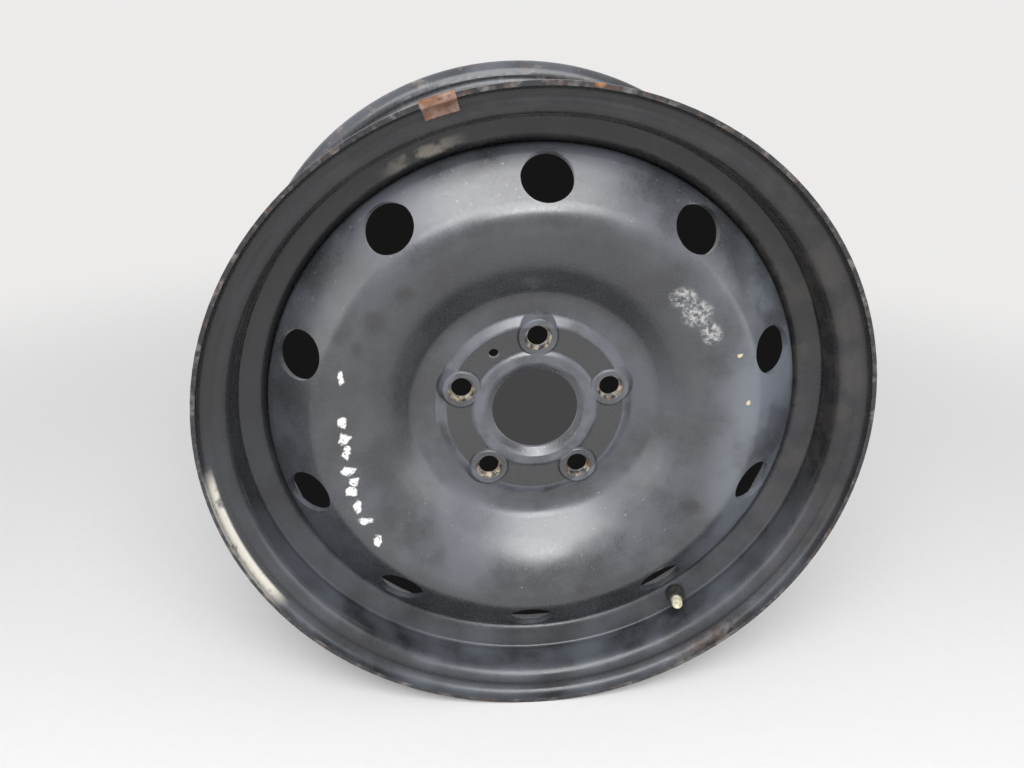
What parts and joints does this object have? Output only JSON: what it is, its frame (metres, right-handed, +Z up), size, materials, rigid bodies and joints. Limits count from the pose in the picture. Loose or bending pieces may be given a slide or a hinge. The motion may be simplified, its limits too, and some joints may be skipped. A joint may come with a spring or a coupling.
{
  "type": "steel wheel",
  "caption": "Bare pressed steel car wheel: rolled rim with drop well, dished disc with round vents, lobed hub pad with cone bolt seats, short snap-in tyre valve and a worn balance clip.",
  "frame": {"origin": "centre of the rim, on the spin axis and midway between the two lips", "axes": "+Y along the spin axis towards the car, the outer face looks to -Y, +Z is up with one bolt hole at the top"},
  "size_m": [0.4402, 0.1893, 0.44],
  "materials": {
    "rim_paint": "worn semi-gloss black",
    "disc_paint": "worn semi-gloss black",
    "weld_paint": "worn semi-gloss black",
    "valve_rubber": "aged rubber",
    "valve_brass": "tarnished",
    "core_brass": "dull",
    "spring_steel": "bare wire",
    "rusted_steel": "rusted"
  },
  "bodies": {
    "wheel": {"rim": "rim_paint", "wheel_disc": "disc_paint", "weld_seams": "weld_paint", "valve_body": "valve_rubber", "valve_stem": "valve_brass", "valve_core_barrel": "core_brass", "valve_core_spring": "spring_steel", "balance_clip": "rusted_steel"},
    "valve_pin": {"valve_core_pin": "core_brass"}
  },
  "joints": [
    {"name": "valve_pin_press", "type": "slide", "parent": "wheel", "child": "valve_pin", "axis": [0.1949, 0.9434, -0.2683], "range_m": [0, 0.0012], "stiffness_N_per_m": 1200, "springref_m": -0.002, "deforming": ["valve_core_spring"]}
  ]
}
